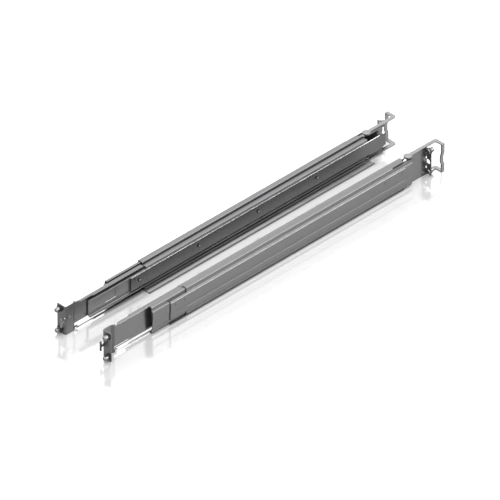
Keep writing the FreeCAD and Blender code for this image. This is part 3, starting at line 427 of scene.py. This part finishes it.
class RAIL_OT_sheets(bpy.types.Operator):
    """Finish the bent sheets of the frame channels and brackets"""

    bl_idname = "rail.sheets"
    bl_label = "Frame Sheets"

    def execute(self, context):
        for part in ("outer_channel", "guide_sleeve", "front_bracket", "rear_bracket", "rear_slide_bar"):
            coat(part, "zinc")
        return {"FINISHED"}


class RAIL_OT_slides(bpy.types.Operator):
    """Finish the slide members, cages and balls"""

    bl_idname = "rail.slides"
    bl_label = "Slides"

    def execute(self, context):
        coat("slide_inner_member", "slide")
        coat("slide_middle_member", "middle")
        coat("slide_outer_member", "race")
        for part in ("outer_ball_cage", "inner_ball_cage"):
            coat(part, "rivet")
        for part in ("outer_balls", "inner_balls"):
            coat(part, "chrome")
        return {"FINISHED"}


DOME_STEP = 0.6 * MM                   # dome of a latch pivot, inside the rim of its head
DOME_SINK = 0.1 * MM                   # middle of the dome below the head's top


class RAIL_OT_fasteners(bpy.types.Operator):
    """Finish the studs, collars and rivets, and dome the latch pivots"""

    bl_idname = "rail.fasteners"
    bl_label = "Fasteners"

    def execute(self, context):
        shapes = context.scene.rail_shapes
        coat("chassis_studs", "stud")
        for part in ("front_studs", "rear_studs"):
            coat(part, "chrome")
        for part in ("front_collars", "rear_collars"):
            coat(part, "black")
        for part in ("slide_spacers", "latch_pivots", "bar_rivets", "rear_hook_pin"):
            coat(part, "rivet")
        coat("frame_rivets", "zinc")
        tree = head_tree()
        for side in SIDES:
            low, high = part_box(side + "_latch_pivots")
            radius = (high.x - low.x) / 2 - DOME_STEP
            piece = grow(tree, side + "_pivot_dome", {
                "First": ((low.x + high.x) / 2, (low.y + high.y) / 2, high.z - DOME_SINK),
                "Step": (0.0, 0.0, 0.0), "Count": 1,
                "Dome": (radius, radius, shapes.head_rise), "Material": finish_of("bright")})
            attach(piece, "frame")
        return {"FINISHED"}


class RAIL_OT_latches(bpy.types.Operator):
    """Finish the front latches and the rear hooks"""

    bl_idname = "rail.latches"
    bl_label = "Latches and Hooks"

    def execute(self, context):
        for part in ("front_latch", "rear_hook"):
            coat(part, "bright")
        return {"FINISHED"}


class RAIL_OT_springs(bpy.types.Operator):
    """Wind the springs of the latches and hooks"""

    bl_idname = "rail.springs"
    bl_label = "Springs"

    def execute(self, context):
        shapes = context.scene.rail_shapes
        tree = coil_tree()
        for side, sign in SIDES.items():
            for part, body, upright in (("latch_spring", "frame", True),
                                        ("rear_hook_spring", side + "_rear", False)):
                coat(part, "rivet")
                low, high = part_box(side + "_" + part)
                middle = (low + high) / 2
                wire = shapes.wire_radius
                coil = (high.x - low.x) / 2 - wire
                if upright:
                    place, turn = (middle.x, middle.y, low.z + wire), (0.0, 0.0, 0.0)
                    length = high.z - low.z
                else:
                    place, turn = (middle.x, low.y + wire, middle.z), (-math.pi / 2, 0.0, 0.0)
                    length = high.y - low.y
                piece = grow(tree, side + "_wound_" + part, {
                    "Turns": shapes.coil_turns, "Coil Radius": coil, "Wire Radius": wire,
                    "Length": length - 2 * wire, "Place": place, "Turn": turn,
                    "Material": finish_of("rivet")})
                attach(piece, body)
                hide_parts(side + "_" + part)
        return {"FINISHED"}


# Places of the hems and beads on the imported sheets, and of the rods of painted highlight and painted
# shade
GAUGE = 1.2 * MM                       # sheet of the frame channel
INSET = 0.2 * MM                       # from the end of a sheet to the end of its rod
CLEARANCE = 0.02 * MM                  # between a rod and the floor
FACE_STOP = 14 * MM                    # bead, painted highlight rod and painted shade rod of the face, behind the channel's front
RIB_STEP = 0.7 * MM                    # rib, behind the proud face
BEAD_LEVEL = 14.6 * MM                 # bead above the floor
BEND_RISE = 0.25 * MM                  # painted highlight rod of the face, out of the proud face
BEND_DROP = 8.9 * MM                   # that painted highlight rod, below the channel's top
FOOT_STEP = 2.3 * MM                   # painted shade rod along the foot, behind the proud face
LEDGE_WIDTH = 9 * MM                   # painted light strip on the ledge's top
BRACKET_EDGE = (25 * MM, 78 * MM)      # painted highlight rod on the rear bracket's edge, from its rear end
BRACKET_DROP = 3.18 * MM               # that edge below the channel's top
WEB_STEP = 0.08 * MM                   # that edge, behind the outer member's web
INNER_STOP = 11 * MM                   # painted highlight rods on the inner member's edges, behind its front end
MIDDLE_BEND = 0.56 * MM                # painted highlight rods on the middle member's edges, inside its corners
MIDDLE_STOP = 2 * MM                   # its upper edge, behind the inner member
RECESS = (30 * MM, 48.5 * MM)          # painted highlight rod on the edge of its recess, from its rear end
RECESS_LEVEL = 7.5 * MM                # that edge above the member's lower side
RECESS_STEP = 1 * MM                   # that edge, inside the member's back
INNER_UPPER_BEND = 0.5 * MM            # painted highlight rod on the inner member's upper edge, inside its corner
INNER_LOWER_BEND = 0.4 * MM            # its lower edge, inside its corner
THINNER = {                            # painted highlight rods, thinner by these than the rods on the frame's bends
    "rear_upper_highlight": 0.3 * MM, "inner_upper_highlight": 0.1 * MM, "inner_lower_highlight": 0.25 * MM,
    "middle_upper_highlight": 0.25 * MM, "recess_highlight": 0.4 * MM, "middle_lower_highlight": 0.2 * MM}


class RAIL_OT_hems(bpy.types.Operator):
    """Roll the hem of the support ledge, press the bead, lay rods of painted highlight along the bends
    and edges, a rod of painted shade along the foot and painted light on the ledge
    """

    bl_idname = "rail.hems"
    bl_label = "Hems, Beads and Bends"

    def execute(self, context):
        shapes = context.scene.rail_shapes
        for side, sign in SIDES.items():
            for row in self.rods(side, sign, shapes):
                self.rod(side, *row)
            self.skin(side, sign, shapes)
        return {"FINISHED"}

    def rods(self, side, sign, shapes):
        """Each rod's name, body, rear and front end, outward place, level, radius and finish."""
        edge = shapes.highlight_rod_radius
        hem = shapes.hem_radius
        foot = shapes.foot_shade_radius
        rear, front = self.reach(side)
        face_end = front - FACE_STOP
        channel = self.span(side + "_outer_channel", sign)
        outer = self.span(side + "_slide_outer_member", sign)
        middle = self.span(side + "_slide_middle_member", sign)
        inner = self.span(side + "_slide_inner_member", sign)
        bracket_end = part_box(side + "_rear_bracket")[0].x
        channel_rear = channel[0].x + INSET
        rib = channel[1].y - RIB_STEP - shapes.bead_radius + shapes.bead_rise
        inner_rear, inner_front = inner[0].x + INSET, inner[1].x - INNER_STOP
        middle_rear, middle_out = middle[0].x + INSET, middle[0].y + MIDDLE_BEND
        return (
            # The hem's shape is a rolled edge; its pale colour is painted light.
            ("ledge_hem", "frame", rear, front, channel[0].y + hem, hem + CLEARANCE, hem, "pale"),
            ("face_bead", "frame", rear, face_end, rib, BEAD_LEVEL, shapes.bead_radius, "zinc"),
            # Painted highlight: a bright rod on the outer face where a highlight falls.
            ("face_highlight", "frame", channel_rear, face_end, channel[1].y - edge + BEND_RISE,
             channel[1].z - BEND_DROP, edge, "bend_highlight"),
            # Painted shade: a rod along the foot's lower edge, black for the shade under it.
            ("foot_shade_rod", "frame", channel_rear, face_end, channel[1].y - FOOT_STEP, foot + CLEARANCE,
             foot, "black"),
            # Painted highlights: rods along the edges of the bracket and slide members, standing for the
            # highlights there.
            self.edge("rear_upper_highlight", side + "_rear", bracket_end + BRACKET_EDGE[0],
                      bracket_end + BRACKET_EDGE[1], outer[1].y - WEB_STEP,
                      channel[1].z - BRACKET_DROP, edge, "edge"),
            self.edge("inner_upper_highlight", side + "_inner", inner_rear, inner_front,
                      inner[0].y + INNER_UPPER_BEND, inner[1].z - INNER_UPPER_BEND, edge, "edge"),
            self.edge("inner_lower_highlight", side + "_inner", inner_rear, inner_front,
                      inner[0].y + INNER_LOWER_BEND, inner[0].z + INNER_LOWER_BEND, edge, "rivet"),
            self.edge("middle_upper_highlight", side + "_middle", middle_rear, inner[0].x - MIDDLE_STOP,
                      middle_out, middle[1].z - MIDDLE_BEND, edge, "bright"),
            self.edge("recess_highlight", side + "_middle", middle[0].x + RECESS[0],
                      middle[0].x + RECESS[1], middle[1].y - RECESS_STEP,
                      middle[0].z + RECESS_LEVEL, edge, "edge"),
            self.edge("middle_lower_highlight", side + "_middle", middle_rear, middle[1].x - INSET,
                      middle_out, middle[0].z + MIDDLE_BEND, edge, "edge"))

    def edge(self, name, body, start, end, outward, level, radius, finish):
        """The row of a thin rod of painted highlight on an edge: its radius is less than that of the
        rods on the frame's bends.
        """
        return name, body, start, end, outward, level, radius - THINNER[name], finish

    def reach(self, side):
        """Rear and front end of the rods along the channel."""
        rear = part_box(side + "_slide_outer_member")[0].x + INSET
        return rear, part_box(side + "_outer_channel")[1].x - INSET

    def span(self, node, sign):
        """The box of a node, with y counted outwards from the middle of the pair."""
        low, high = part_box(node)
        if sign < 0:
            low.y, high.y = -high.y, -low.y
        return low, high

    def rod(self, side, name, body, start, end, outward, level, radius, finish):
        """A rod along the rail that rides a body."""
        across = SIDES[side] * outward
        piece = grow(rod_tree(), side + "_" + name, {
            "Start": (start, across, level), "End": (end, across, level), "Radius": radius,
            "Sides": 16, "Material": finish_of(finish)})
        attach(piece, body)

    def skin(self, side, sign, shapes):
        """The pale top of the support ledge, between hem and web: a thin slab of painted light."""
        start, end = self.reach(side)
        top = GAUGE + shapes.painted_light_skin
        near = self.span(side + "_outer_channel", sign)[0].y + shapes.hem_radius * 2
        far = near + LEDGE_WIDTH
        piece = grow(slab_tree(), side + "_ledge_painted_light", {
            "Size": (end - start, far - near, shapes.painted_light_skin * 2),
            "Place": ((start + end) / 2, sign * (near + far) / 2, top - shapes.painted_light_skin),
            "Material": finish_of("pale")})
        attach(piece, "frame")


class RAIL_OT_studio(bpy.types.Operator):
    """Set the white floor, the lights and the camera"""

    bl_idname = "rail.studio"
    bl_label = "Studio"

    def execute(self, context):
        studio = context.scene.rail_studio
        self.lay_floor(studio)
        self.light(context.scene, studio)
        self.place_camera(context.scene, studio)
        context.scene.view_settings.view_transform = "Standard"
        return {"FINISHED"}

    def seen_directly(self, tree):
        """1 where the camera, a reflection or a clear body shows the background."""
        path = tree.nodes.new("ShaderNodeLightPath")
        total = (path, "Is Camera Ray")
        for ray in ("Is Glossy Ray", "Is Transmission Ray"):
            larger = number(tree, "MAXIMUM")
            link(tree, *total, larger, 0)
            link(tree, path, ray, larger, 1)
            total = (larger, 0)
        return total

    def dimmed(self, tree, studio):
        """How far the floor is darkened where a reflection shows it."""
        path = tree.nodes.new("ShaderNodeLightPath")
        mirrored = number(tree, "MULTIPLY", studio.floor_dim)
        link(tree, path, "Is Glossy Ray", mirrored, 0)
        return mirrored, 0

    def lay_floor(self, studio):
        """A white floor with a faint gloss, a painted shade round the rails in its glow, and painted
        shade where the metal reflects it.
        """
        reach = studio.floor_reach
        mesh = bpy.data.meshes.new("studio_floor")
        level = -0.05 * MM
        corners = [(-reach, -reach, level), (reach, -reach, level), (reach, reach, level),
                   (-reach, reach, level)]
        mesh.from_pydata(corners, [], [(0, 1, 2, 3)])
        floor = bpy.data.objects.new("studio_floor", mesh)
        bpy.context.scene.collection.objects.link(floor)
        material = bpy.data.materials.new("Studio floor")
        material.use_nodes = True
        tree = material.node_tree
        shader = tree.nodes["Principled BSDF"]
        shader.inputs["Base Color"].default_value = (0.86, 0.86, 0.86, 1.0)
        shader.inputs["Roughness"].default_value = 0.5
        shader.inputs["Specular IOR Level"].default_value = 0.2
        shader.inputs["Emission Color"].default_value = (1.0, 1.0, 1.0, 1.0)
        # Painted shade: the glow that whitens the floor drops near the rails, by ambient occlusion
        # within the floor shade's reach.
        lift = number(tree, "MULTIPLY")
        near = tree.nodes.new("ShaderNodeAmbientOcclusion")
        near.inputs["Distance"].default_value = studio.floor_shade
        near.samples = 8
        painted_shade_glow = number(tree, "MULTIPLY", studio.floor_lift)
        link(tree, near, "AO", painted_shade_glow, 0)
        link(tree, painted_shade_glow, 0, lift, 1)
        link(tree, *self.seen_directly(tree), lift, 0)
        link(tree, lift, 0, shader, "Emission Strength")
        gloss = tree.nodes.new("ShaderNodeBsdfAnisotropic")
        gloss.inputs["Color"].default_value = (0.97, 0.97, 0.97, 1.0)
        gloss.inputs["Roughness"].default_value = 0.13
        blend = tree.nodes.new("ShaderNodeMixShader")
        blend.inputs["Fac"].default_value = studio.floor_gloss
        link(tree, shader, 0, blend, 1)
        link(tree, gloss, 0, blend, 2)
        # Painted shade: a near-black that reflections see in place of the floor, so the metal's sides
        # reflecting the floor come out darker.
        painted_dark_reflection = tree.nodes.new("ShaderNodeBsdfDiffuse")
        painted_dark_reflection.inputs["Color"].default_value = (0.03, 0.03, 0.03, 1.0)
        shaded = tree.nodes.new("ShaderNodeMixShader")
        link(tree, *self.dimmed(tree, studio), shaded, "Fac")
        link(tree, blend, 0, shaded, 1)
        link(tree, painted_dark_reflection, 0, shaded, 2)
        link(tree, shaded, 0, tree.nodes["Material Output"], "Surface")
        mesh.materials.append(material)

    def light(self, scene, studio):
        """Even light from all round, a soft key from above and a weak fill."""
        world = bpy.data.worlds.new("Studio light")
        world.use_nodes = True
        scene.world = world
        tree = world.node_tree
        shade = tree.nodes["Background"]
        shade.inputs["Color"].default_value = (1.0, 1.0, 1.0, 1.0)
        direct = number(tree, "MULTIPLY_ADD", 1.0 - studio.sky, studio.sky)
        link(tree, *self.seen_directly(tree), direct, 0)
        path = tree.nodes.new("ShaderNodeLightPath")
        mirrored = number(tree, "MULTIPLY_ADD", studio.overhead - 1.0)
        link(tree, path, "Is Glossy Ray", mirrored, 0)
        link(tree, direct, 0, mirrored, 2)
        link(tree, mirrored, 0, shade, "Strength")
        for name, strength, spread, aim in (
                ("key_light", studio.key, 50.0, (0.25, 0.15, -1.0)),
                ("rim_light", studio.rim, 26.0, (-1.0, 1.0, -1.0)),
                ("fill_light", studio.fill, 70.0, (0.7, 0.9, -0.5))):
            lamp = bpy.data.lights.new(name, "SUN")
            lamp.energy = strength
            lamp.angle = math.radians(spread)
            thing = bpy.data.objects.new(name, lamp)
            thing.rotation_euler = Vector(aim).to_track_quat("-Z", "Y").to_euler()
            thing.visible_diffuse = name != "rim_light"
            scene.collection.objects.link(thing)

    def place_camera(self, scene, studio):
        """A very long lens, so that the rails keep their parallel lines."""
        data = bpy.data.cameras.new("photo_camera")
        data.lens = studio.lens
        data.sensor_width = 36.0
        camera = bpy.data.objects.new("photo_camera", data)
        scene.collection.objects.link(camera)
        level = math.cos(studio.elevation)
        back = Vector((math.sin(studio.azimuth) * level, -math.cos(studio.azimuth) * level,
                       math.sin(studio.elevation)))
        distance = studio.view_width * studio.lens / data.sensor_width
        camera.location = Vector(studio.target) + back * distance
        camera.rotation_euler = (-back).to_track_quat("-Z", "Y").to_euler()
        data.clip_start = 1.0
        data.clip_end = 200.0
        scene.camera = camera


STEPS = (RAIL_OT_sheets, RAIL_OT_slides, RAIL_OT_fasteners, RAIL_OT_latches, RAIL_OT_springs,
         RAIL_OT_hems, RAIL_OT_studio)


class RAIL_PT_panel(bpy.types.Panel):
    """Sizes, finishes and steps of the rails"""

    bl_idname = "RAIL_PT_panel"
    bl_label = "Server Rails"
    bl_space_type = "VIEW_3D"
    bl_region_type = "UI"
    bl_category = "Rails"

    def draw(self, context):
        for group in (context.scene.rail_shapes, context.scene.rail_finishes, context.scene.rail_studio):
            box = self.layout.box()
            for name in group.__annotations__:
                box.prop(group, name)
        for step in STEPS:
            self.layout.operator(step.bl_idname)


CLASSES = (RailShapes, RailFinishes, RailStudio, *STEPS, RAIL_PT_panel)


def register():
    """Adds the classes and the scene's properties."""
    for item in CLASSES:
        bpy.utils.register_class(item)
    bpy.types.Scene.rail_shapes = bpy.props.PointerProperty(type=RailShapes)
    bpy.types.Scene.rail_finishes = bpy.props.PointerProperty(type=RailFinishes)
    bpy.types.Scene.rail_studio = bpy.props.PointerProperty(type=RailStudio)


def unregister():
    """Removes them again."""
    del bpy.types.Scene.rail_studio
    del bpy.types.Scene.rail_finishes
    del bpy.types.Scene.rail_shapes
    for item in reversed(CLASSES):
        bpy.utils.unregister_class(item)


def main():
    """Runs every step in order."""
    register()
    bpy.ops.rail.sheets()
    bpy.ops.rail.slides()
    bpy.ops.rail.fasteners()
    bpy.ops.rail.latches()
    bpy.ops.rail.springs()
    bpy.ops.rail.hems()
    bpy.ops.rail.studio()


if __name__ == "__main__":
    main()
